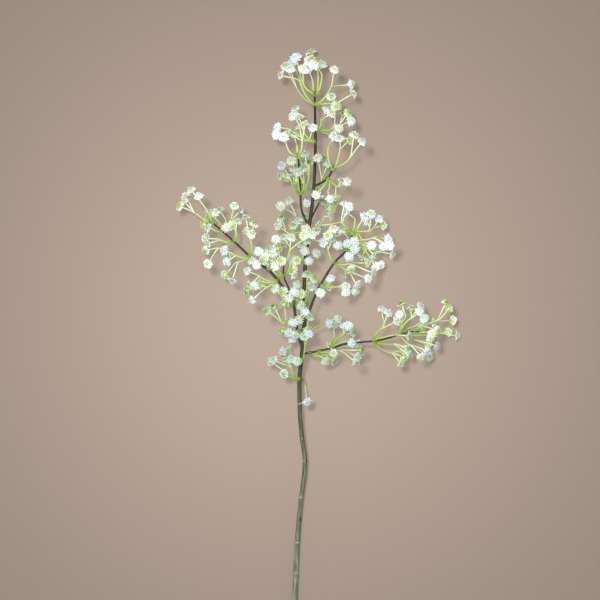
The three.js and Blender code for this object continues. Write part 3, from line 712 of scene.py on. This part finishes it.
def petal_layer(skin, axes, at, radius, notch, layer, wash, tint, draw):
    """One ring of petals that arch, droop and differ in length and tilt."""
    side, over, facing = axes
    count = layer["petals"]
    petal = np.repeat(np.arange(count), PETAL_CORNERS)
    across = np.tile(np.linspace(-1, 1, PETAL_CORNERS, endpoint=False), count)
    angles = (petal + 0.5 + across / 2) / count * 2 * math.pi + draw.uniform(0, 2 * math.pi)
    ways = np.cos(angles)[:, None] * side + np.sin(angles)[:, None] * over
    length = 1 + PETAL_UNLIKE * draw.normal(size=count)[petal] + EDGE_UNLIKE * draw.normal(size=len(petal))
    notched = radius * layer["reach"] * length * (1 - notch * abs(across) ** NOTCH_POWER)
    rim = np.minimum(notched, PETAL_LONGEST * radius)
    tilt = PETAL_TILT * layer["reach"] * draw.normal(size=count)[petal] + PETAL_ARCH * (1 - across**2)
    dull = PETAL_DULL * draw.uniform(size=count)[petal]
    rings, paint = [], []
    for share, thick in PETAL_RINGS:
        height = layer["height"] - layer["droop"] * share**3 + tilt * share**2 + thick
        points = at + (rim * share)[:, None] * ways + height[:, None] * facing
        under = 1.0 if thick < 0 else 0.0
        lime = wash(points) + under * (UNDER_LIME * (1 - share) + RIM_LIME)
        # Painted shade: the sprig's dullness, a random darkening of each petal, more in the notches and, on
        # top, near the middle.
        shade = tint["grey_and_shade"] + dull + NOTCH_SHADE * abs(across) ** 3
        shade = np.clip(shade + MIDDLE_SHADE * (1 - share) * (1 - under), 0, DEEPEST)
        rings.append(points)
        paint.append(np.stack([lime, shade, np.zeros(len(lime))], -1))
    skin.through(np.array(rings), np.array(paint))


def floret(skin, end, facing, radius, tint, draw):
    """A cup and layers of petals on the end of a pedicel, with a green wash somewhere near its middle."""
    facing = unit(facing + FLORET_UNLIKE * draw.normal(size=3))
    side, over, _ = frames_along([end, end + facing])[0]
    size = draw.uniform(*FLORET_SIZES)
    notch = draw.uniform(*PETAL_NOTCHES)
    white = tint["white"] * draw.uniform()
    lime = next(tint["washes"])
    astray = draw.normal() * side + draw.normal() * over
    middle = end + WASH_HEIGHT * facing + WASH_ASTRAY * radius * astray

    def wash(points):
        away = np.linalg.norm(points - middle, axis=-1)
        return white + lime * np.exp(-((away / (WASH_REACH * radius)) ** 2))

    cup = circles([end + height * facing for height, _ in CUP], [size * wide for _, wide in CUP], CUP_SIDES)
    skin.through(cup, paints(np.linspace(*CUP_LIME, len(CUP))))
    for layer in LAYERS:
        petal_layer(skin, (side, over, facing), end, size * radius, notch, layer, wash, tint, draw)


# ---------------------------------------------------------------- stalks and collars

ARM_ROOT_DEPTH = 1  # how far an arm reaches into its collar
ARM_STATIONS = np.linspace(0, 1, 13)
ARM_SIDES, PEDICEL_SIDES = 8, 7
ARM_RADII, ARM_LIME = (0.96, 0.8), (0.66, 0.56)  # at the collar, and at the fork
ROOT_SWELL, FORK_SWELL, SWELL_REACH = 0.5, 0.14, 1.2  # how much thicker an arm is there, and how far along
ROOT_LIME, ROOT_LIME_REACH = 0.3, 3  # how much greener it is at its collar, and how far along
ARM_SHADE = (0.45, 0.7)  # darkening, and more with its sprig's dullness: tone and painted shade
PEDICEL_STATIONS = np.linspace(0, 1, 10)
PEDICEL_RADIUS = 0.62
PEDICEL_LIME = (0.5, 0.23)  # at the arm, and at the floret
PEDICEL_SHADE = (0.25, 0.6)  # as for an arm
PEDICEL_SWELL, PEDICEL_SWELL_REACH = 0.14, 1.5  # how much thicker it is at its arm, and how far along
PEDICEL_ONWARD = 0.22  # how far a pedicel runs on along its arm first, as a share of its reach


def swelling(stations, at, width):
    """1 at a place, and falling away over a width on both sides of it."""
    return np.exp(-(((stations - at) / width) ** 2))


def cubic(a, b, c, d, t):
    """A point of the cubic curve from a to d that bends towards b and c."""
    return (1 - t) ** 3 * a + 3 * t * (1 - t) ** 2 * b + 3 * t**2 * (1 - t) * c + t**3 * d


def arm(skin, curve, florets, out, radius, tint, draw):
    """An arm that runs on into its pedicels, each with its floret."""
    length = np.linalg.norm(curve[2] - curve[0])
    points = [curve[0] - ARM_ROOT_DEPTH * out, *(bend(curve, t) for t in ARM_STATIONS)]
    run = np.concatenate([[0], ARM_STATIONS * length])
    radii = mix(*ARM_RADII, run / length) + ROOT_SWELL * swelling(run, 0, SWELL_REACH)
    radii = radii + FORK_SWELL * swelling(run, length, SWELL_REACH)
    lime = mix(*ARM_LIME, run / length) + ROOT_LIME * swelling(run, 0, ROOT_LIME_REACH)
    # An even darkening, more where the sprig is given painted shade.
    shade = ARM_SHADE[0] + ARM_SHADE[1] * tint["grey_and_shade"]
    skin.through(circles(points, radii, ARM_SIDES, out), paints(lime * tint["green"], shade))
    towards = unit(points[-1] - points[-2])
    for stalk, facing in florets:
        nearest = min(points, key=lambda point: np.linalg.norm(point - stalk[0]))
        pedicel_skin(skin, nearest, towards, stalk, tint)
        floret(skin, stalk[2], facing, radius, tint, draw)


def pedicel_skin(skin, start, towards, stalk, tint):
    """A pedicel that leaves its arm the way that the arm runs, and bends towards its floret."""
    reach = np.linalg.norm(stalk[2] - start)
    onward = start + PEDICEL_ONWARD * reach * towards
    path = [cubic(start, onward, stalk[1], stalk[2], t) for t in PEDICEL_STATIONS]
    swell = swelling(PEDICEL_STATIONS * reach, 0, PEDICEL_SWELL_REACH)
    lime = mix(*PEDICEL_LIME, PEDICEL_STATIONS) * tint["green"]
    # As on an arm: an even darkening, more where the sprig is given painted shade.
    shade = PEDICEL_SHADE[0] + PEDICEL_SHADE[1] * tint["grey_and_shade"]
    skin.through(circles(path, PEDICEL_RADIUS + PEDICEL_SWELL * swell, PEDICEL_SIDES), paints(lime, shade))


# The collar's section: place along it and height over its bore.
COLLAR_PROFILE = [(-0.5, 0.1), (-0.42, 0.42), (-0.15, 0.62), (0.15, 0.62), (0.42, 0.42), (0.5, 0.1)]
COLLAR_SIDES = 20
COLLAR_LONGER, COLLAR_LOOSE = 1.2, 0.06  # its length as a share of the solid one's, and its clearance
COLLAR_LIME, COLLAR_DARK = 0.9, 0.9
GREEN_FROM, GREEN_OVER = 0.55, 0.35  # it turns green towards an arm, past this cosine and over this much more


def collar(skin, laid, outs):
    """A sleeve round the stem, green where the arms leave it and dark like the stem elsewhere."""
    ends, stem = laid["ends"], laid["stem"]
    bore = SLIM * stem_radius(stem, laid["u"]) + COLLAR_LOOSE
    points = [mix(ends[0], ends[1], 0.5 + COLLAR_LONGER * share) for share, _ in COLLAR_PROFILE]
    points += [points[-1], points[0]]
    walls = [bore + wall for _, wall in COLLAR_PROFILE] + [bore, bore]
    side, over, _ = frames_along([ends[0], ends[1]])[0]
    angles = np.arange(COLLAR_SIDES) / COLLAR_SIDES * 2 * math.pi
    ways = np.cos(angles)[:, None] * side + np.sin(angles)[:, None] * over
    near = np.max([ways @ out for out in outs], axis=0)
    green = np.clip((near - GREEN_FROM) / GREEN_OVER, 0, 1)
    rings = np.array([at + wall * ways for at, wall in zip(points, walls)])
    lime, shade = np.full(COLLAR_SIDES, COLLAR_LIME), np.zeros(COLLAR_SIDES)
    paint = np.stack([lime, shade, COLLAR_DARK * (1 - green)], -1)
    skin.through(rings, paint[None], endless=True)


SEED = 100  # of the first sprig; the next ones count on


def sprig_skin(laid, name):
    """The collar, the arms and the florets of a sprig."""
    draw = np.random.default_rng(SEED + laid["index"])
    tint = sprig_tint(name, sum(len(florets) for _, florets in laid["arms"]), draw)
    skin = Skin()
    outs = [unit(curve[0] - laid["centre"]) for curve, _ in laid["arms"]]
    collar(skin, laid, outs)
    for (curve, florets), out in zip(laid["arms"], outs):
        arm(skin, curve, florets, out, laid["floret_radius"], tint, draw)
    return skin


# ---------------------------------------------------------------- stems

SLIM = 0.885  # how thick the round stems are, as a share of the solid ones
FOOT, FOOT_REACH = 0.22, 2.3  # how much thicker the main stem's foot is, and how far up, in route points
STEM_STEP, HAIR = 0.08, 1e-6  # from one ring to the next, in route points, and what rounding may take
KNUCKLE_STEPS = 0.02 * np.arange(-5, 6)  # where more rings lie round a knuckle
STEM_SIDES = 18
STEM_ANGLES = np.arange(STEM_SIDES) / STEM_SIDES * 2 * math.pi
KNUCKLE_LEAN, KNUCKLE_REACH = 0.5, 0.7
KNUCKLE_STRENGTH = (0.65, 0.35)  # of the ring on the whole, and how much it differs round the stem
LEAN_TURN, STRENGTH_TURN = 2.4, 1.1  # how far round the stem these turn from one knuckle to the next
CUT_BEVEL = 0.25
BUD_LENGTH, BUD_FADE = 6, 2  # the green end of each stem
SIDE_STEM_START = 0.5  # how far up the main stem's colours those of a side stem start
SCARS = [(5.98, 0.9), (4.72, 1.3), (2.5, 2.6)]  # the main stem's bud scars: place, and half length
SCAR_STATIONS = np.linspace(-1, 1, 9)
SCAR_RADIUS, SCAR_SIDES = 0.85, 8
SCAR_BLUNT = 1.02  # 1 would end a scar in points


def knuckle_rings(run, places):
    """How much each point of a stem belongs to a knuckle: a ring that leans and is weaker on one side."""
    rings = np.zeros((len(run), STEM_SIDES))
    for turn, middle in enumerate(places):
        lean = KNUCKLE_LEAN * np.sin(STEM_ANGLES + LEAN_TURN * turn)
        strength = KNUCKLE_STRENGTH[0] + KNUCKLE_STRENGTH[1] * np.cos(STEM_ANGLES + STRENGTH_TURN * turn)
        rings += strength * swelling(run[:, None], middle + lean, KNUCKLE_REACH)
    return rings


def stem_skin(stem):
    """A round bar along a route, with a ring at each knuckle."""
    marks = stem.get("knuckles", [])
    steps = np.arange(0, stem["last"] + HAIR, STEM_STEP)
    closer = [mark + KNUCKLE_STEPS for mark in marks]
    steps = np.unique(np.concatenate([steps, *closer]).round(3))
    points = [along(stem["points"], u) for u in steps]
    run = np.concatenate([[0], np.cumsum(np.linalg.norm(np.diff(points, axis=0), axis=1))])
    rings = knuckle_rings(run, np.interp(marks, steps, run))
    slim = SLIM + (FOOT * np.exp(-((steps / FOOT_REACH) ** 4)) if marks else 0)
    radii = (slim * np.array([stem_radius(stem, u) for u in steps]))[:, None] + KNUCKLE_RISE * rings
    radii[0] -= CUT_BEVEL
    bud = np.clip((run - run[-1] + BUD_LENGTH) / BUD_FADE, 0, 1)
    risen = mix(0 if marks else SIDE_STEM_START, 1, run / run[-1])
    paint = np.stack(np.broadcast_arrays(risen[:, None], rings, bud[:, None]), -1)
    skin = Skin()
    skin.through(circles(points, radii, STEM_SIDES), paint)
    for u, half in SCARS if marks else []:
        scar(skin, stem, u, half)
    return skin


def scar(skin, stem, u, half):
    """A small dark bud that lies along a stem, between its side and its top."""
    at, after = along(stem["points"], u), along(stem["points"], u + NEARBY)
    side, _, ahead = frames_along([at, after])[0]
    middle = at + SLIM * stem_radius(stem, u) * unit(side + UP)
    points = [middle + half * share * ahead for share in SCAR_STATIONS]
    radii = SCAR_RADIUS * np.sqrt(SCAR_BLUNT - SCAR_STATIONS**2)
    skin.through(circles(points, radii, SCAR_SIDES), paints(np.ones(len(points))))


# ---------------------------------------------------------------- materials

# Colours of a sprig: by its lime, the painted shade in its creases, and where the stem's coating is on it.
LIME_STOPS = [
    (0.0, (0.78, 0.84, 0.91)),
    (0.1, (0.88, 0.9, 0.89)),
    (0.22, (0.8, 0.85, 0.65)),
    (0.45, (0.57, 0.7, 0.27)),
    (0.7, (0.37, 0.53, 0.1)),
    (1.0, (0.2, 0.4, 0.03)),
]
MOTTLE_STOPS = [(0.3, (0.92, 0.96, 0.93)), (0.7, (1, 1, 1))]
MOTTLE_STRENGTH = 0.6
CREASE_SHADE_COLOUR = (0.45, 0.51, 0.49, 1)
COATING_COLOUR = (0.04, 0.036, 0.017, 1)

# Colours of a stem: from its foot to its tip, in its streaks, on its knuckles and on its green end.
STEM_STOPS = [
    (0.0, (0.29, 0.33, 0.25)),
    (0.18, (0.2, 0.24, 0.165)),
    (0.36, (0.105, 0.13, 0.075)),
    (0.5, (0.036, 0.045, 0.018)),
    (0.6, (0.033, 0.033, 0.011)),
    (1.0, (0.027, 0.028, 0.009)),
]
STREAK_STOPS = [(0.38, (0.44, 0.4, 0.36)), (0.62, (1, 1, 1))]
STREAK_SHAPE = (1, 0.12, 1)  # how close they lie along each axis: they are drawn out along the second
KNUCKLE_COLOUR = (0.32, 0.35, 0.27, 1)
BUD_COLOUR = (0.3, 0.5, 0.06, 1)


def feed(tree, socket, value):
    """Sets a socket to a value, or links it to another one."""
    if isinstance(value, bpy.types.NodeSocket):
        tree.links.new(value, socket)
    else:
        socket.default_value = value


def node(tree, kind, **inputs):
    """A node with its inputs set, where a name with _ stands for one with a space."""
    made = tree.nodes.new(kind)
    for name, value in inputs.items():
        feed(tree, made.inputs[name.replace("_", " ")], value)
    return made


def ramp(tree, value, stops):
    """The colour that a row of stops gives for a value."""
    made = tree.nodes.new("ShaderNodeValToRGB")
    tree.links.new(value, made.inputs["Fac"])
    elements = made.color_ramp.elements
    while len(elements) < len(stops):
        elements.new(1)
    for element, (position, colour) in zip(elements, stops):
        element.position = position
        element.color = (*colour, 1)
    return made.outputs["Color"]


def blended(tree, kind, share, a, b):
    """Colour b laid over colour a, by a share."""
    made = tree.nodes.new("ShaderNodeMix")
    made.data_type = "RGBA"
    made.blend_type = kind
    colour_a, colour_b = made.inputs[6], made.inputs[7]  # the sockets before them are for numbers
    feed(tree, made.inputs["Factor"], share)
    feed(tree, colour_a, a)
    feed(tree, colour_b, b)
    return made.outputs[2]


def painted(tree):
    """The three parts of the paint."""
    paint = tree.nodes.new("ShaderNodeAttribute")
    paint.attribute_name = "paint"
    return node(tree, "ShaderNodeSeparateColor", Color=paint.outputs["Color"]).outputs


def on_object(tree):
    """Places as the object counts them, so that the patterns ride with it."""
    return tree.nodes.new("ShaderNodeTexCoord").outputs["Object"]


def noise(tree, scale, detail, distortion=0.0, vector=None):
    """A cloudy value from 0 to 1."""
    where = vector or on_object(tree)
    made = node(tree, "ShaderNodeTexNoise", Vector=where, Scale=scale, Detail=detail, Distortion=distortion)
    return made.outputs["Fac"]


def roughen(tree, shader, height, strength, distance):
    """Gives a shader's surface a fine grain by a height, over a distance in metres."""
    bump = node(tree, "ShaderNodeBump", Height=height, Strength=strength, Distance=distance)
    tree.links.new(bump.outputs["Normal"], shader.inputs["Normal"])


def surface(name):
    """A material, its tree and its shader."""
    material = bpy.data.materials.new(name)
    material.use_nodes = True
    return material, material.node_tree, material.node_tree.nodes["Principled BSDF"]


def sprig_material():
    """Satin moulded plastic: white to lime green, with painted shade in the creases."""
    material, tree, shader = surface("moulded_sprig")
    lime, shade, dark = painted(tree)
    green = ramp(tree, lime, LIME_STOPS)
    mottle = ramp(tree, noise(tree, scale=420, detail=3), MOTTLE_STOPS)
    colour = blended(tree, "MULTIPLY", MOTTLE_STRENGTH, green, mottle)
    # Painted shade: darker towards the crease colour in the creases and on sprigs given painted shade.
    crease_shaded = blended(tree, "MULTIPLY", shade, colour, CREASE_SHADE_COLOUR)
    coated = blended(tree, "MIX", dark, crease_shaded, COATING_COLOUR)
    tree.links.new(coated, shader.inputs["Base Color"])
    shader.inputs["Roughness"].default_value = 0.48
    roughen(tree, shader, noise(tree, scale=1800, detail=2), strength=0.25, distance=0.0002)
    return material


def stem_material():
    """A dull coating, pale at the foot and dark olive above, with streaks, pale knuckles and a green end."""
    material, tree, shader = surface("coated_stem")
    risen, ring, bud = painted(tree)
    base = ramp(tree, risen, STEM_STOPS)
    lengthwise = node(tree, "ShaderNodeMapping", Vector=on_object(tree), Scale=STREAK_SHAPE).outputs["Vector"]
    streaks = ramp(tree, noise(tree, scale=520, detail=4, distortion=0.6, vector=lengthwise), STREAK_STOPS)
    colour = blended(tree, "MULTIPLY", 1, base, streaks)
    ringed = blended(tree, "MIX", ring, colour, KNUCKLE_COLOUR)
    tipped = blended(tree, "MIX", bud, ringed, BUD_COLOUR)
    tree.links.new(tipped, shader.inputs["Base Color"])
    shader.inputs["Roughness"].default_value = 0.6
    shader.inputs["Specular IOR Level"].default_value = 0.3
    roughen(tree, shader, noise(tree, scale=900, detail=3), strength=0.5, distance=0.0004)
    return material


# ---------------------------------------------------------------- pieces

LOWEST = 0.00003  # no piece reaches lower, in metres


def show(name, data, at=(0, 0, 0)):
    """An object in the scene."""
    made = bpy.data.objects.new(name, data)
    made.location = at
    bpy.context.scene.collection.objects.link(made)
    return made


def piece(name, skin, material, nodes):
    """The mesh of a skin, riding with the part in the place of its solid."""
    at = np.vstack(skin.at) * MM
    at[:, 2] = np.maximum(at[:, 2], LOWEST)
    quads = np.vstack(skin.quads)
    tris = np.vstack(skin.tris) if skin.tris else np.zeros((0, 3), int)
    corners = np.concatenate([quads.ravel(), tris.ravel()])
    starts = np.concatenate([np.arange(len(quads)) * 4, quads.size + np.arange(len(tris)) * 3])
    mesh = bpy.data.meshes.new(name)
    mesh.vertices.add(len(at))
    mesh.vertices.foreach_set("co", at.ravel())
    mesh.loops.add(len(corners))
    mesh.loops.foreach_set("vertex_index", corners)
    mesh.polygons.add(len(starts))
    mesh.polygons.foreach_set("loop_start", starts)
    mesh.update(calc_edges=True)
    mesh.shade_smooth()
    paint = mesh.color_attributes.new("paint", "FLOAT_COLOR", "POINT")
    values = np.hstack([np.vstack(skin.paint), np.ones((len(at), 1))])
    paint.data.foreach_set("color", values.ravel())
    mesh.materials.append(material)
    made = show(name, mesh)
    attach(made, "root")
    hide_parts(*nodes)


coated = stem_material()
for name, stem in STEMS.items():
    piece(f"{name}_coated", stem_skin(stem), coated, [name])

moulded = sprig_material()
for index, name in enumerate(SPRIGS):
    sprig = lay_out(name, index)
    piece(f"{name}_moulded", sprig_skin(sprig, name), moulded, [f"sprig_{name}"])


# ---------------------------------------------------------------- floor, light and camera

PHOTO_SIDE = 600  # of the square photo, in plan units
PHOTO_X, PHOTO_Y, _ = place([PHOTO_SIDE / 2, PHOTO_SIDE / 2], 0) * MM  # its middle
SPRAY_MIDDLE = 0.025  # the height at which the picture is as wide as the photo
CAMERA_AWAY, CLIP_END, SENSOR = 10, 60, 36
FLOOR_REACH, FLOOR_DROP = 4, 0.0001
FLOOR_COLOUR = (0.29, 0.231, 0.19, 1)
ROOM_STOPS = [(0, (0.66, 0.65, 0.64)), (0.35, (0.45, 0.44, 0.43)), (0.7, (0.2, 0.196, 0.192))]


def floor():
    """A plain pale floor, a hair under the spray."""
    mesh = bpy.data.meshes.new("floor")
    signs = [(-1, -1), (1, -1), (1, 1), (-1, 1)]
    mesh.from_pydata([(x * FLOOR_REACH, y * FLOOR_REACH, 0) for x, y in signs], [], [(0, 1, 2, 3)])
    material, _, shader = surface("pale_floor")
    shader.inputs["Base Color"].default_value = FLOOR_COLOUR
    shader.inputs["Roughness"].default_value = 0.95
    shader.inputs["Specular IOR Level"].default_value = 0.1
    mesh.materials.append(material)
    made = show("floor", mesh, (0, 0, -FLOOR_DROP))


def light(name, kind, at, aim, **values):
    """A light that the camera doesn't see."""
    data = bpy.data.lights.new(name, kind)
    for key, value in values.items():
        setattr(data, key, value)
    made = show(name, data, at)
    made.rotation_mode = "QUATERNION"
    way = [b - a for a, b in zip(at, aim)]
    made.rotation_quaternion = Vector(way).to_track_quat("-Z", "Y")
    made.visible_camera = False


def studio():
    """A pale room whose walls are brighter than its ceiling."""
    world = bpy.data.worlds.new("studio")
    world.use_nodes = True
    tree = world.node_tree
    ways = tree.nodes.new("ShaderNodeTexCoord").outputs["Generated"]
    height = node(tree, "ShaderNodeSeparateXYZ", Vector=ways).outputs["Z"]
    room = ramp(tree, height, ROOM_STOPS)
    tree.links.new(room, tree.nodes["Background"].inputs["Color"])
    bpy.context.scene.world = world


def photo_camera():
    """A camera far over the spray, with a picture as wide as the photo."""
    camera = bpy.data.cameras.new("camera")
    camera.sensor_width = SENSOR
    camera.lens = SENSOR * CAMERA_AWAY / (PHOTO_SIDE * MM)
    camera.clip_end = CLIP_END
    bpy.context.scene.camera = show("camera", camera, (PHOTO_X, PHOTO_Y, CAMERA_AWAY + SPRAY_MIDDLE))


floor()
light(
    "overhead", "AREA", at=(-0.04, 0.04, 0.42), aim=(PHOTO_X, PHOTO_Y, 0),
    shape="DISK", size=0.25, energy=1.8, use_shadow=False,
)
light("window", "SUN", at=(-0.19, 0.2, 1), aim=(0, 0, 0), energy=1.95, angle=math.radians(10))
studio()
photo_camera()
bpy.context.scene.view_settings.view_transform = "Standard"
